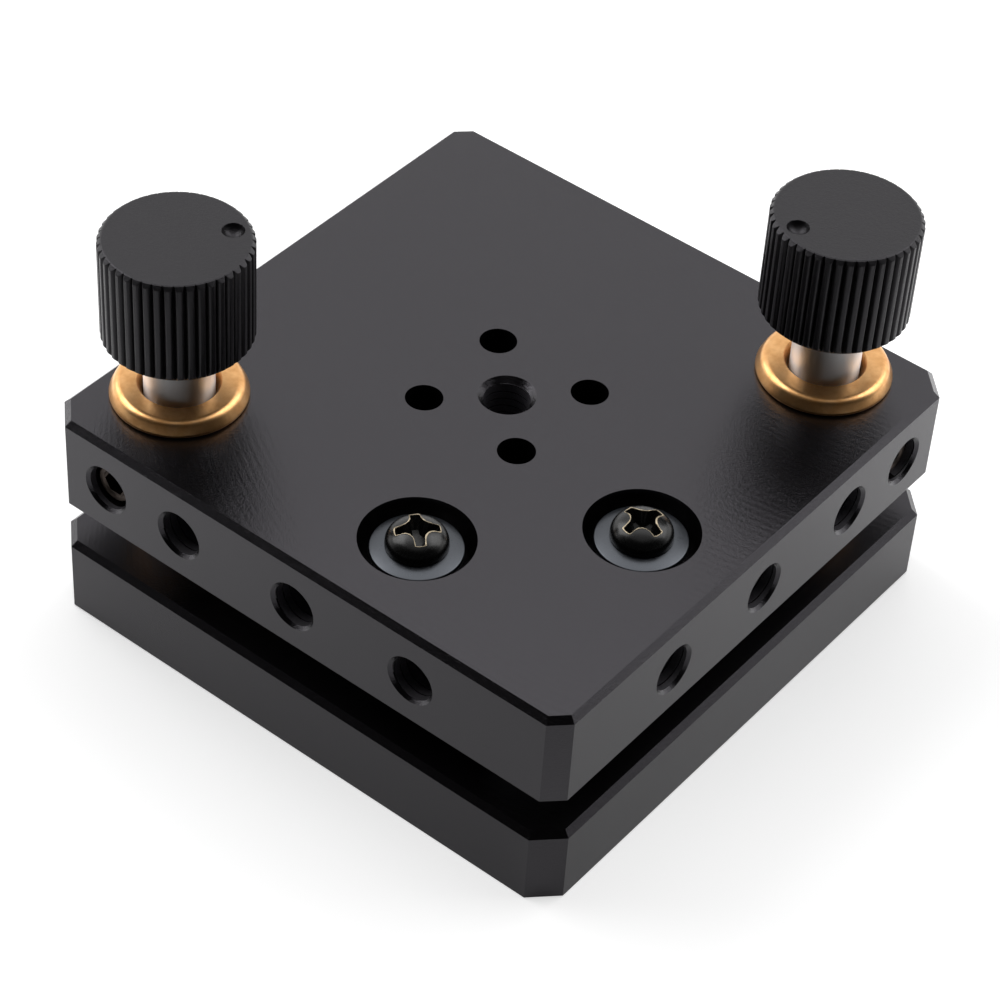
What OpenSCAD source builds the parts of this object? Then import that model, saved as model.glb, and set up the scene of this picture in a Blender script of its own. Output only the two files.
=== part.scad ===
// Square tilt stage: a top plate that stands on a pivot ball and on two fine-thread adjusters,
// and is pulled down onto the base plate by two spring-loaded screws.
// The front corner, over the pivot ball, is at +X -Y, and the adjusters are at the corners next to it.
// The origin is the centre of the base plate's underside, with Z up.

/* [Plates] */
// Side of both square plates
plate_w = 56; // [54:1:64]
// Thickness of the base plate
base_t = 7.8; // [7:0.1:10]
// Gap between the plates when they are parallel
plate_gap = 4.6; // [4.4:0.1:5.4]
// Thickness of the top plate
top_t = 9.5; // [9.2:0.1:11]
// Chamfer along the upper edges of the plates
edge_chamfer = 0.55; // [0.2:0.05:0.9]
// Broken edge along the undersides of the plates
edge_break = 0.1; // [0.05:0.05:0.4]
// Length that a wide corner cut takes off each side
corner_cut = 2.3; // [1:0.1:3]
// Length that a slim corner cut takes off each side, over the pivot ball and across from it
slim_corner_cut = 1.6; // [1:0.1:3]

/* [Tapped and plain holes] */
// Outer diameter of the thread in the mounting holes
tap_d = 4.17; // [3.8:0.01:4.3]
// Chamfer diameter of the side holes
side_mouth_d = 4.75; // [4.4:0.05:5]
// Chamfer diameter of the holes in the middle of the plates
centre_mouth_d = 5.15; // [4.4:0.05:5.6]
// Distance between neighbouring side holes
side_spacing = 12.7; // [11.5:0.1:12.7]
// Height of the side holes below the top face
side_drop = 5; // [4.6:0.1:5.2]
// Depth of the thread in the side holes
side_depth = 4.4; // [3.5:0.1:4.4]
// Side of the square of small holes
small_square = 10.2; // [9.8:0.1:10.6]
// Diameter of the small holes
small_d = 3.35; // [2.5:0.05:3.5]

/* [Adjusters] */
// Distance from the pivot line to the edge of the plate
line_inset = 9.3; // [9.3:0.05:9.8]
// Distance from each adjuster to the cut corner's other edge
adjuster_inset = 6.9; // [6.8:0.1:7.6]
// Diameter of the adjuster screws
shaft_d = 6.2; // [6.2:0.05:6.4]
// Diameter of the bushing in the plate
bushing_d = 9.5; // [9:0.1:9.8]
// Diameter of the bushing's bore
bushing_bore_d = 6.45; // [6.45:0.01:6.55]
// Diameter of the bushing's flange
flange_d = 12.1; // [11:0.1:12.4]
// Thickness of the flange
flange_t = 1.5; // [1.2:0.1:2]
// Rounding of the flange's upper edge
flange_round = 0.8; // [0.3:0.1:1]
// Height of the left knob above the top face
left_knob_rise = 6.8; // [4:0.1:9]
// Height of the right knob above the top face
right_knob_rise = 7.4; // [4:0.1:9]

/* [Knobs] */
// Diameter over the knurl
knob_d = 13.2; // [12:0.1:13.4]
// Height of a knob
knob_h = 10.1; // [8:0.1:14]
// Number of grooves in the knurl
knurl_count = 44; // [24:1:46]
// Depth of a groove
knurl_depth = 0.4; // [0.2:0.05:0.5]
// Width of a groove at the rim
knurl_w = 0.45; // [0.3:0.01:0.7]
// Bevel round both ends of a knob
knob_bevel = 0.35; // [0.3:0.05:0.8]
// Diameter of the index dimple in the top of a knob
dimple_d = 1.95; // [1:0.05:2]
// Distance from the knob's axis to the dimple
dimple_along = 4.8; // [3:0.1:4.9]

/* [Spring screws] */
// Distance from the front corner's side of the plate to a spring screw
spring_inset = 9.05; // [9:0.05:10]
// Distance from the middle of the plate to a spring screw, along that side
spring_along = 5.7; // [5.5:0.1:6]
// Diameter of the screw's thread
screw_d = 2.85; // [2.5:0.05:3]
// Diameter of the pan head
head_d = 5.4; // [5:0.1:5.8]
// Height of the pan head
head_h = 2; // [1.7:0.1:2.2]
// Diameter of the counterbore
counterbore_d = 10; // [9.6:0.1:10]
// Depth of the counterbore
counterbore_depth = 6.4; // [6:0.1:6.6]
// Diameter of the washer
washer_d = 8; // [7:0.1:8]
// Thickness of the washer
washer_t = 0.6; // [0.4:0.05:0.8]
// Depth of the washer's upper face below the top face
washer_drop = 0.7; // [0.2:0.1:1]
// Outer diameter of the spring
spring_d = 6.6; // [6:0.1:7]
// Diameter of the spring's wire
wire_d = 0.7; // [0.5:0.05:0.8]
// Curls of the spring
spring_turns = 3.5; // [2:0.5:3.5]

/* [Ball seats] */
// Diameter of the pivot ball
pivot_ball_d = 6.35; // [6:0.05:6.4]
// Diameter of the ball in the tip of an adjuster
tip_ball_d = 4; // [3.6:0.1:4.2]
// Clearance between a ball and what it sits in
ball_clearance = 0.03; // [0.01:0.01:0.05]
// Diameter of the seats pressed into the plates
seat_d = 8; // [7.8:0.1:8.4]
// Depth of the pockets that hold the seats
seat_depth = 4; // [3:0.1:4.5]

/* [Hidden] */
$fn = 64;
// Cutting shapes reach this far past the faces that they open
overcut = 0.5;

// Heights of the plates' faces and of the plane that holds the three ball centres
top_under_z = base_t + plate_gap;
top_z = top_under_z + top_t;
ball_z = base_t + plate_gap / 2;
left_knob_z = top_z + left_knob_rise;
right_knob_z = top_z + right_knob_rise;

// Pivot, adjusters and spring screws, left and right of the front corner
half_w = plate_w / 2;
pivot_line = half_w - line_inset;
adjuster_along = half_w - adjuster_inset;
spring_line = half_w - spring_inset;
pivot_spot = [pivot_line, -pivot_line];
left_adjuster = [-adjuster_along, -pivot_line];
right_adjuster = [pivot_line, adjuster_along];
left_spring = [spring_along, -spring_line];
right_spring = [spring_line, -spring_along];

// Right-angled seats: a ball's centre lies this far from the apex
pivot_apex = (pivot_ball_d / 2 + ball_clearance) * sqrt(2);
tip_apex = (tip_ball_d / 2 + ball_clearance) * sqrt(2);
// The cone and the cup rise this far above the circle on which they carry the ball
cone_rim = 0.6;
cone_top_z = ball_z - pivot_ball_d / 2 / sqrt(2) + cone_rim;
// The vee rises this far above the lines on which it carries the ball
vee_rim = 0.36;
vee_top_z = ball_z - tip_ball_d / 2 / sqrt(2) + vee_rim;
flat_top_z = ball_z - tip_ball_d / 2 - ball_clearance;
// Relief at the bottom of the cone and of the cup
relief_d = 1.6;

// Adjuster screw
socket_d = tip_ball_d + 2 * ball_clearance;
// The socket's lip reaches this far below the ball's centre
socket_lip = 0.2;
shaft_end_z = ball_z - socket_lip;
shaft_chamfer = 0.5;
stub_d = 5;
stub_h = 6.5;
countersink_d = 7.3;

// The dimple is a shallow cap of a larger ball
dimple_ball_r = 1.2;
dimple_lift = sqrt(pow(dimple_ball_r, 2) - pow(dimple_d / 2, 2));
left_dimple_turn = 55;
right_dimple_turn = -116;

// Screws, washer and spring in a counterbore
floor_z = top_z - counterbore_depth;
washer_top_z = top_z - washer_drop;
washer_under_z = washer_top_z - washer_t;
floor_hole_d = 4.5;
washer_hole_d = 3.2;
head_round = 1.1;
base_floor = 1.6;
screw_tip_gap = 0.4;
recess_w = 0.9;
recess_span = 3.3;
recess_root = 1.4;
recess_depth = 1.3;
left_recess_turn = 42;
right_recess_turn = 87;

// Lock screws beside the bushings
lock_d = tap_d - 0.06;
lock_recess = 1;
lock_l = line_inset - bushing_d / 2 - lock_recess;
lock_chamfer = 0.35;
lock_socket_af = 2;
lock_socket_depth = 1.7;
side_hole_z = top_z - side_drop;

// Spring, as a tube of wire_sides sides with rings_per_curl rings in each curl
rings_per_curl = 8;
wire_sides = 6;
curl_r = (spring_d - wire_d) / 2;
spring_rise = washer_under_z - floor_z - wire_d;
spring_rings = rings_per_curl * spring_turns;
spring_lead = atan(spring_rise / spring_turns / (2 * PI * curl_r));

// Centre of one ring of the spring's wire, measured from the counterbore's floor
function wire_centre(ring) =
    let (turn = 360 * ring / rings_per_curl)
    [curl_r * cos(turn), curl_r * sin(turn), wire_d / 2 + spring_rise * ring / spring_rings];

// Points of one ring, square to the wire
function wire_ring(ring) =
    let (turn = 360 * ring / rings_per_curl)
    let (outward = [cos(turn), sin(turn), 0])
    let (upward = [sin(turn) * sin(spring_lead), -cos(turn) * sin(spring_lead), cos(spring_lead)])
    [
        for (side = [0 : wire_sides - 1])
            let (a = 360 * (side + 0.5) / wire_sides)
            wire_centre(ring) + wire_d / 2 * (cos(a) * outward + sin(a) * upward)
    ];

// Least gap between neighbouring curls, from every pair of rings at least half a curl apart
spring_gap = min([
    for (low = [0 : spring_rings - rings_per_curl / 2])
        for (high = [low + rings_per_curl / 2 : spring_rings])
            norm(wire_centre(high) - wire_centre(low))
]) - wire_d;
echo(spring_gap = spring_gap);

// Long bar along Y that is as wide as a plate, with the plate's chamfers
module edge_bar(width, thickness) {
    side = width / 2;
    rotate([90, 0, 0])
        linear_extrude(height = 2 * plate_w, center = true)
            polygon([
                [-side + edge_break, 0], [side - edge_break, 0],
                [side, edge_break], [side, thickness - edge_chamfer],
                [side - edge_chamfer, thickness], [-side + edge_chamfer, thickness],
                [-side, thickness - edge_chamfer], [-side, edge_break]
            ]);
}

// Square plate with cut corners; front_cut is at the pivot corner and across from it
module plate_blank(thickness, front_cut, side_cut) {
    intersection() {
        edge_bar(plate_w, thickness);
        rotate(90) edge_bar(plate_w, thickness);
        rotate(-45) edge_bar(sqrt(2) * (plate_w - front_cut), thickness);
        rotate(45) edge_bar(sqrt(2) * (plate_w - side_cut), thickness);
    }
}

// Chamfer at the mouth of a hole that goes down from the origin
module hole_mouth(hole_d, mouth_d) {
    mouth_h = (mouth_d - hole_d) / 2;
    translate([0, 0, -mouth_h])
        cylinder(d1 = hole_d, d2 = mouth_d + 2 * overcut, h = mouth_h + overcut);
}

// Blind hole that goes down from the origin and ends in a drill point
module blind_tap(depth, mouth_d) {
    point_h = tap_d / 2 / tan(59);
    translate([0, 0, -depth])
        cylinder(d = tap_d, h = depth + overcut);
    translate([0, 0, -depth - point_h])
        cylinder(d1 = 0, d2 = tap_d, h = point_h);
    hole_mouth(tap_d, mouth_d);
}

// Hole right through a plate that lies under the origin
module through_hole(hole_d, thickness) {
    translate([0, 0, -thickness - overcut])
        cylinder(d = hole_d, h = thickness + 2 * overcut);
}

// Stands its children on both front sides, with the second set mirrored across the front corner
module on_front_sides(along) {
    translate([along, -half_w, side_hole_z])
        rotate([90, 0, 0])
            children();
    translate([half_w, -along, side_hole_z])
        rotate([0, 90, 0])
            children();
}

// Right-angled cone with its apex at the origin, opening upward
module seat_cone(height) {
    cylinder(r1 = 0, r2 = height, h = height);
}

// Cone seat with its apex at the origin, so that the cup over the ball is the same piece upside down
module cone_insert(body_h) {
    rim_h = pivot_apex - pivot_ball_d / 2 / sqrt(2) + cone_rim;
    difference() {
        translate([0, 0, rim_h - body_h])
            cylinder(d = seat_d, h = body_h);
        seat_cone(rim_h + overcut);
        translate([0, 0, -relief_d / 2])
            cylinder(d = relief_d, h = relief_d);
    }
}

module base_plate() {
    color("#2f2c2d")
        difference() {
            plate_blank(base_t, corner_cut, corner_cut);
            for (spot = [pivot_spot, left_adjuster, right_adjuster])
                translate([spot.x, spot.y, base_t - seat_depth])
                    cylinder(d = seat_d, h = seat_depth + overcut);
            for (spot = [left_spring, right_spring])
                translate([spot.x, spot.y, base_floor])
                    cylinder(d = screw_d, h = base_t);
            translate([0, 0, base_t]) {
                through_hole(tap_d, base_t);
                hole_mouth(tap_d, centre_mouth_d);
            }
            rotate([180, 0, 0])
                hole_mouth(tap_d, centre_mouth_d);
        }
}

module cone_seat() {
    color("#b9bcc0")
        translate([pivot_spot.x, pivot_spot.y, ball_z - pivot_apex])
            cone_insert(cone_top_z - base_t + seat_depth);
}

module pivot_cup() {
    color("#b9bcc0")
        translate([pivot_spot.x, pivot_spot.y, ball_z + pivot_apex])
            rotate([180, 0, 0])
                cone_insert(cone_top_z - base_t + seat_depth);
}

module vee_seat() {
    vee_h = vee_top_z - ball_z + tip_apex + overcut;
    color("#b9bcc0")
        translate([left_adjuster.x, left_adjuster.y, 0])
            difference() {
                translate([0, 0, base_t - seat_depth])
                    cylinder(d = seat_d, h = vee_top_z - base_t + seat_depth);
                translate([0, 0, ball_z - tip_apex])
                    rotate([90, 0, 90])
                        linear_extrude(height = 2 * seat_d, center = true)
                            polygon([[0, 0], [vee_h, vee_h], [-vee_h, vee_h]]);
            }
}

module flat_seat() {
    color("#b9bcc0")
        translate([right_adjuster.x, right_adjuster.y, base_t - seat_depth])
            cylinder(d = seat_d, h = flat_top_z - base_t + seat_depth);
}

// Side view of the pan head, from the axis outward
module head_profile() {
    head_r = head_d / 2;
    intersection() {
        square([head_r, head_h]);
        union() {
            square([head_r, head_h - head_round]);
            square([head_r - head_round, head_h]);
            translate([head_r - head_round, head_h - head_round])
                circle(r = head_round);
        }
    }
}

// Cross recess that narrows downward from the origin
module cross_recess() {
    slope = (recess_span - recess_root) / recess_depth;
    intersection() {
        translate([0, 0, -recess_depth])
            cylinder(
                d1 = recess_root,
                d2 = recess_span + slope * overcut,
                h = recess_depth + overcut
            );
        union() {
            cube([recess_span * 2, recess_w, recess_depth * 2], center = true);
            cube([recess_w, recess_span * 2, recess_depth * 2], center = true);
        }
    }
}

module spring_screw(spot, recess_turn) {
    color("#242325")
        translate([spot.x, spot.y, 0])
            difference() {
                union() {
                    translate([0, 0, base_floor + screw_tip_gap])
                        cylinder(d = screw_d, h = washer_top_z - base_floor - screw_tip_gap);
                    translate([0, 0, washer_top_z])
                        rotate_extrude()
                            head_profile();
                }
                translate([0, 0, washer_top_z + head_h])
                    rotate(recess_turn)
                        cross_recess();
            }
}

module washer(spot) {
    color("#39383b")
        translate([spot.x, spot.y, washer_under_z])
            difference() {
                cylinder(d = washer_d, h = washer_t);
                translate([0, 0, washer_t])
                    through_hole(washer_hole_d, washer_t);
            }
}

module spring(spot) {
    points = [for (ring = [0 : spring_rings]) each wire_ring(ring)];
    last = spring_rings * wire_sides;
    walls = [
        for (ring = [0 : spring_rings - 1])
            for (side = [0 : wire_sides - 1])
                let (next = (side + 1) % wire_sides)
                let (low = ring * wire_sides)
                let (high = low + wire_sides)
                each [
                    [low + side, high + side, high + next],
                    [low + side, high + next, low + next]
                ]
    ];
    ends = [
        for (side = [1 : wire_sides - 2])
            each [[0, side, side + 1], [last, last + side + 1, last + side]]
    ];
    color("#a7aaab")
        translate([spot.x, spot.y, floor_z])
            polyhedron(points = points, faces = concat(walls, ends));
}

module pivot_ball() {
    color("#c4c7ca")
        translate([pivot_spot.x, pivot_spot.y, ball_z])
            sphere(d = pivot_ball_d);
}

module top_plate() {
    color("#363334")
        difference() {
            translate([0, 0, top_under_z])
                plate_blank(top_t, slim_corner_cut, corner_cut);
            translate([0, 0, top_z]) {
                through_hole(tap_d, top_t);
                hole_mouth(tap_d, centre_mouth_d);
                for (x = [-1, 1])
                    for (y = [-1, 1])
                        translate([x * small_square / 2, y * small_square / 2, 0])
                            through_hole(small_d, top_t);
                for (spot = [left_adjuster, right_adjuster])
                    translate(spot)
                        through_hole(bushing_d, top_t);
                for (spot = [left_spring, right_spring])
                    translate(spot) {
                        through_hole(counterbore_d, counterbore_depth - overcut);
                        through_hole(floor_hole_d, top_t);
                    }
            }
            translate([pivot_spot.x, pivot_spot.y, top_under_z - overcut])
                cylinder(d = seat_d, h = seat_depth + overcut);
            for (hole = [-1, 0, 1])
                on_front_sides(hole * side_spacing)
                    blind_tap(side_depth, side_mouth_d);
            on_front_sides(-adjuster_along) {
                through_hole(tap_d, line_inset - overcut);
                hole_mouth(tap_d, side_mouth_d);
            }
        }
}

module bushing(spot) {
    bore_r = bushing_bore_d / 2;
    flange_r = flange_d / 2;
    countersink_r = countersink_d / 2;
    sink = countersink_r - bore_r;
    color("#7a5f33")
        translate([spot.x, spot.y, top_z])
            rotate_extrude()
                difference() {
                    union() {
                        translate([0, -top_t])
                            square([bushing_d / 2, top_t]);
                        intersection() {
                            square([flange_r, flange_t]);
                            union() {
                                square([flange_r, flange_t - flange_round]);
                                square([flange_r - flange_round, flange_t]);
                                translate([flange_r - flange_round, flange_t - flange_round])
                                    circle(r = flange_round);
                            }
                        }
                    }
                    translate([0, -top_t - overcut])
                        square([bore_r, top_t + flange_t + 2 * overcut]);
                    polygon([
                        [0, flange_t - sink - bore_r],
                        [countersink_r + overcut, flange_t + overcut],
                        [0, flange_t + overcut]
                    ]);
                }
}

// Lock screw along Z, with its outer end at the origin and its inner end against the bushing
module lock_screw() {
    difference() {
        union() {
            translate([0, 0, -lock_l])
                cylinder(d = lock_d, h = lock_l - lock_chamfer);
            translate([0, 0, -lock_chamfer])
                cylinder(d1 = lock_d, d2 = lock_d - 2 * lock_chamfer, h = lock_chamfer);
        }
        translate([0, 0, -lock_socket_depth])
            cylinder(d = lock_socket_af / cos(30), h = lock_socket_depth + overcut, $fn = 6);
    }
}

module lock_screw_left() {
    color("#6d6a66")
        translate([left_adjuster.x, lock_recess - half_w, side_hole_z])
            rotate([90, 0, 0])
                lock_screw();
}

module lock_screw_right() {
    color("#6d6a66")
        translate([half_w - lock_recess, right_adjuster.y, side_hole_z])
            rotate([0, 90, 0])
                lock_screw();
}

module ball_tip(spot) {
    color("#c4c7ca")
        translate([spot.x, spot.y, ball_z])
            sphere(d = tip_ball_d);
}

module adjuster_screw(spot, knob_z) {
    color("#8f9394")
        translate([spot.x, spot.y, 0])
            difference() {
                union() {
                    translate([0, 0, shaft_end_z])
                        cylinder(d1 = shaft_d - 2 * shaft_chamfer, d2 = shaft_d, h = shaft_chamfer);
                    translate([0, 0, shaft_end_z + shaft_chamfer])
                        cylinder(d = shaft_d, h = knob_z - shaft_end_z - shaft_chamfer);
                    translate([0, 0, knob_z])
                        cylinder(d = stub_d, h = stub_h);
                }
                translate([0, 0, ball_z])
                    sphere(d = socket_d);
                translate([0, 0, shaft_end_z - overcut])
                    cylinder(d = socket_d, h = socket_lip + overcut);
            }
}

// Outline of the knurl: a circle with grooves that run straight up the knob
module knurl_outline() {
    rim_r = knob_d / 2;
    flare = knurl_w / 2 * (1 + overcut / knurl_depth);
    difference() {
        circle(r = rim_r);
        for (groove = [0 : knurl_count - 1])
            rotate(360 * groove / knurl_count)
                polygon([
                    [rim_r - knurl_depth, 0],
                    [rim_r + overcut, flare],
                    [rim_r + overcut, -flare]
                ]);
    }
}

module knob(spot, knob_z, dimple_turn) {
    rim_r = knob_d / 2;
    color("#1f1e1f")
        translate([spot.x, spot.y, knob_z])
            difference() {
                intersection() {
                    linear_extrude(height = knob_h)
                        knurl_outline();
                    rotate_extrude()
                        polygon([
                            [0, 0], [rim_r - knob_bevel, 0], [rim_r, knob_bevel],
                            [rim_r, knob_h - knob_bevel], [rim_r - knob_bevel, knob_h], [0, knob_h]
                        ]);
                }
                translate([0, 0, stub_h])
                    through_hole(stub_d, stub_h);
                rotate(dimple_turn)
                    translate([dimple_along, 0, knob_h + dimple_lift])
                        sphere(r = dimple_ball_r);
            }
}

base_plate();
cone_seat();
vee_seat();
flat_seat();
spring_screw(left_spring, left_recess_turn);  // spring_screw_left
spring_screw(right_spring, right_recess_turn);  // spring_screw_right
washer(left_spring);  // washer_left
washer(right_spring);  // washer_right
spring(left_spring);  // spring_left
spring(right_spring);  // spring_right
pivot_ball();
top_plate();
pivot_cup();
bushing(left_adjuster);  // bushing_left
bushing(right_adjuster);  // bushing_right
lock_screw_left();
lock_screw_right();
ball_tip(left_adjuster);  // ball_tip_left
ball_tip(right_adjuster);  // ball_tip_right
adjuster_screw(left_adjuster, left_knob_z);  // adjuster_screw_left
knob(left_adjuster, left_knob_z, left_dimple_turn);  // knob_left
adjuster_screw(right_adjuster, right_knob_z);  // adjuster_screw_right
knob(right_adjuster, right_knob_z, right_dimple_turn);  // knob_right
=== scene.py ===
"""Looks of a square tilt stage: two black anodised plates, brass bushings, steel adjusters and knurled knobs.
Lengths named here are in millimetres, and MM turns them into the scene's metres."""

import math

import bmesh
import bpy
from mathutils import Matrix, Vector


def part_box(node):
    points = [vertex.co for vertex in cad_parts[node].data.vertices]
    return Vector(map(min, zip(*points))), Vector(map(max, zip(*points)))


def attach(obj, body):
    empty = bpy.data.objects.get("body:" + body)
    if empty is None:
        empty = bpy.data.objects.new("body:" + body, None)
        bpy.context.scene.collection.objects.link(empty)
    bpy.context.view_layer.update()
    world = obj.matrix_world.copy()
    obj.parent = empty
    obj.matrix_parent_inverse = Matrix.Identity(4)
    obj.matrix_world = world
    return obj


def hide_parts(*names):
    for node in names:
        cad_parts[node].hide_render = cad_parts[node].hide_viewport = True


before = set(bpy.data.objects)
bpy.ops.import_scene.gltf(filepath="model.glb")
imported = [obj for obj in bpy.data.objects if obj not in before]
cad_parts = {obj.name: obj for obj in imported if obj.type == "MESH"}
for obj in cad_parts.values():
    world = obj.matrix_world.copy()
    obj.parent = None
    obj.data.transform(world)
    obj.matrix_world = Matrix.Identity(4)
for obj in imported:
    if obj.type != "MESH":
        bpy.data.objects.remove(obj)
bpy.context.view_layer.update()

MM = 0.001
FULL_TURN = 2 * math.pi
SIDES = ("left", "right")


# Places and sizes that come from the solids


def middle(node):
    """Centre of a node's box, in millimetres."""
    low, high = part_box(node)
    return (low + high) / 2 / MM


def height_range(node):
    """Lowest and highest point of a node, in millimetres."""
    low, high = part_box(node)
    return low.z / MM, high.z / MM


def half_width(node):
    """Half of a node's width along X, in millimetres, which is a round node's radius."""
    low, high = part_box(node)
    return (high.x - low.x) / 2 / MM


BASE_TOP = height_range("base_plate")[1]
PLATE_UNDER, PLATE_TOP = height_range("top_plate")
HALF_PLATE = half_width("top_plate")
SHAFT_LOW = height_range("adjuster_screw_left")[0]
SHAFT_R = half_width("adjuster_screw_left")
KNOB_UNDER = {side: height_range("knob_" + side)[0] for side in SIDES}
KNOB_H = height_range("knob_left")[1] - KNOB_UNDER["left"]
KNOB_R = half_width("knob_left")
BALL_Z = middle("pivot_ball").z
WASHER_LOW, WASHER_HIGH = height_range("washer_left")
WASHER_R = half_width("washer_left")
SPRING_LOW, SPRING_HIGH = height_range("spring_left")
SCREW_LOW, SCREW_HIGH = height_range("spring_screw_left")
HEAD_R = half_width("spring_screw_left")
FLANGE_TOP = height_range("bushing_left")[1]
FLANGE_R = half_width("bushing_left")
ADJUSTER_SPOT = {side: middle("bushing_" + side) for side in SIDES}
SPRING_SPOT = {side: middle("washer_" + side) for side in SIDES}
LOCK_SPOT = {side: middle("lock_screw_" + side) for side in SIDES}

# Sizes of the details that the solids leave out

STUB_R = 2.5
STUB_H = 6.5
SHAFT_CHAMFER = 0.5
SOCKET_R = 2.03
FINE_PITCH = 0.3175
FINE_DEPTH = 0.17
FINE_THREAD_TOP = 17.0
SPRING_SCREW_R = 1.425
SPRING_SCREW_PITCH = 0.5
SPRING_SCREW_DEPTH = 0.27
THREAD_INTO_BASE = 1.0
THREAD_UNDER_TOP = 7.0
TAP_R = 2.085
TAP_PITCH = 0.79375
TAP_RIDGE = 0.36
RIDGE_BURIED = 0.04
SIDE_TAP_DEPTH = 4.4
LOCK_TAP_DEPTH = 0.95
CENTRE_TAP_STOP = 0.3
BASE_TAP_STOP = 0.8
SIDE_MOUTH_R = 2.375
CENTRE_MOUTH_R = 2.575
SIDE_SPACING = 12.7
SIDE_DROP = 5.0
LOCK_THREAD_DEPTH = 0.3
LOCK_POINT = 0.35
LOCK_THREAD_STOP = 0.4
HEX_HALF_WIDTH = 1.0
HEX_DEPTH = 1.7
BUSHING_BORE_R = 3.225
BUSHING_BARREL_R = 4.75
HEAD_FOOT = 0.25
HEAD_POWER = 2.3
RECESS_DEPTH = 1.5
RECESS_FOOT = 0.5
RECESS_LIFT = 0.3
RECESS_ARM = 2.4
RECESS_HALF_ARM = 0.55
RECESS_FLARE = 1.0
FLARE_ANGLES = (0, 0.4, 0.79, 1.17)
BEAD_WIDTH = 0.11
BEAD_STEP = 0.06
BEAD_PATCHES_PER_METRE = 1100.0
WASHER_BORE_R = 1.6
WASHER_SLOPE = 0.18
WIRE_D = 0.7
SPRING_TURNS = 3.5
KNURLS = 44
KNURL_DEPTH = 0.4
KNURL_SHARE = 0.477
KNURL_ROUND = 0.7
KNOB_BEVEL = 0.35
DIMPLE_ALONG = 4.8
DIMPLE_BALL = 1.0
DIMPLE_LIFT = 0.22
DIMPLE_ROUND = 0.05
DIMPLE_TURN = {"left": math.radians(55), "right": math.radians(-116)}
RECESS_TURN = {"left": math.radians(48), "right": math.radians(79)}

# Faces that meet at more than this angle keep a sharp edge

SHARP_EDGE = math.radians(35)


# Colours


def linear(hex_colour):
    """Linear colour of an sRGB hex value."""
    channels = [int(hex_colour[place : place + 2], 16) / 255 for place in (1, 3, 5)]
    values = [c / 12.92 if c <= 0.04045 else ((c + 0.055) / 1.055) ** 2.4 for c in channels]
    return (*values, 1.0)


# Nodes

MATH = "ShaderNodeMath"
VECTOR_MATH = "ShaderNodeVectorMath"
MAP_RANGE = "ShaderNodeMapRange"
NOISE = "ShaderNodeTexNoise"
BUMP = "ShaderNodeBump"
MIX = "ShaderNodeMix"
SPLIT = "ShaderNodeSeparateXYZ"
JOIN = "ShaderNodeCombineXYZ"

# Places of a Mix node's colour sockets

MIX_LOW = 6
MIX_HIGH = 7
MIX_RESULT = 2


def feed(tree, node, inputs):
    """Gives a node's inputs values or links, by name or in order. A node stands for its first output."""
    pairs = inputs.items() if isinstance(inputs, dict) else enumerate(inputs)
    for name, value in pairs:
        if isinstance(value, bpy.types.Node):
            value = value.outputs[0]
        if isinstance(value, bpy.types.NodeSocket):
            tree.links.new(value, node.inputs[name])
        else:
            node.inputs[name].default_value = value


def add_node(tree, kind, inputs=(), **settings):
    """Adds a node with its settings and inputs, and lays it out after the others."""
    node = tree.nodes.new(kind)
    node.location = (190 * len(tree.nodes), 0)
    for name, value in settings.items():
        setattr(node, name, value)
    feed(tree, node, inputs)
    return node


def axis_distance(tree, x, y):
    """Distance from the Z axis."""
    x_squared = add_node(tree, MATH, (x, x), operation="MULTIPLY")
    y_squared = add_node(tree, MATH, (y, y), operation="MULTIPLY")
    both = add_node(tree, MATH, (x_squared, y_squared), operation="ADD")
    return add_node(tree, MATH, (both,), operation="SQRT")


def moved_across(tree, x, y, factor, z):
    """Place at a height z whose distance from the Z axis is multiplied by a factor."""
    new_x = add_node(tree, MATH, (x, factor), operation="MULTIPLY")
    new_y = add_node(tree, MATH, (y, factor), operation="MULTIPLY")
    return add_node(tree, JOIN, (new_x, new_y, z))


# Materials
# Real grain and scratches of a few hundredths of a millimetre are too fine to show, so they are drawn at
# about 0.1 to 0.3 mm.


def new_material(name, colour, roughness, metallic=0.0, ior=1.5):
    """Principled material whose plain values sit on the shader itself."""
    material = bpy.data.materials.new(name)
    material.use_nodes = True
    tree = material.node_tree
    tree.nodes.clear()
    output = add_node(tree, "ShaderNodeOutputMaterial")
    plain = {"Base Color": linear(colour), "Roughness": roughness, "Metallic": metallic, "IOR": ior}
    shader = add_node(tree, "ShaderNodeBsdfPrincipled", plain)
    feed(tree, output, {"Surface": shader})
    return material, tree, shader


def object_place(tree):
    """Object coordinates in millimetres."""
    place = add_node(tree, "ShaderNodeTexCoord").outputs["Object"]
    return add_node(tree, VECTOR_MATH, {0: place, "Scale": 1 / MM}, operation="SCALE")


def own_place(tree):
    """Place measured from a turned piece's own axis, in millimetres."""
    place = add_node(tree, "ShaderNodeAttribute", attribute_name="own_place").outputs["Vector"]
    return add_node(tree, VECTOR_MATH, {0: place, "Scale": 1 / MM}, operation="SCALE")


# Face mill: its radius, the X of its path, its feed in one turn, and how fine and how long its scratches are

MILL_R = 53.0
MILL_CENTRE_X = 17.0
MILL_FEED = 0.725
SCRATCHES_PER_MM = 5.0
SCRATCH_STRETCH = 0.22


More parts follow.
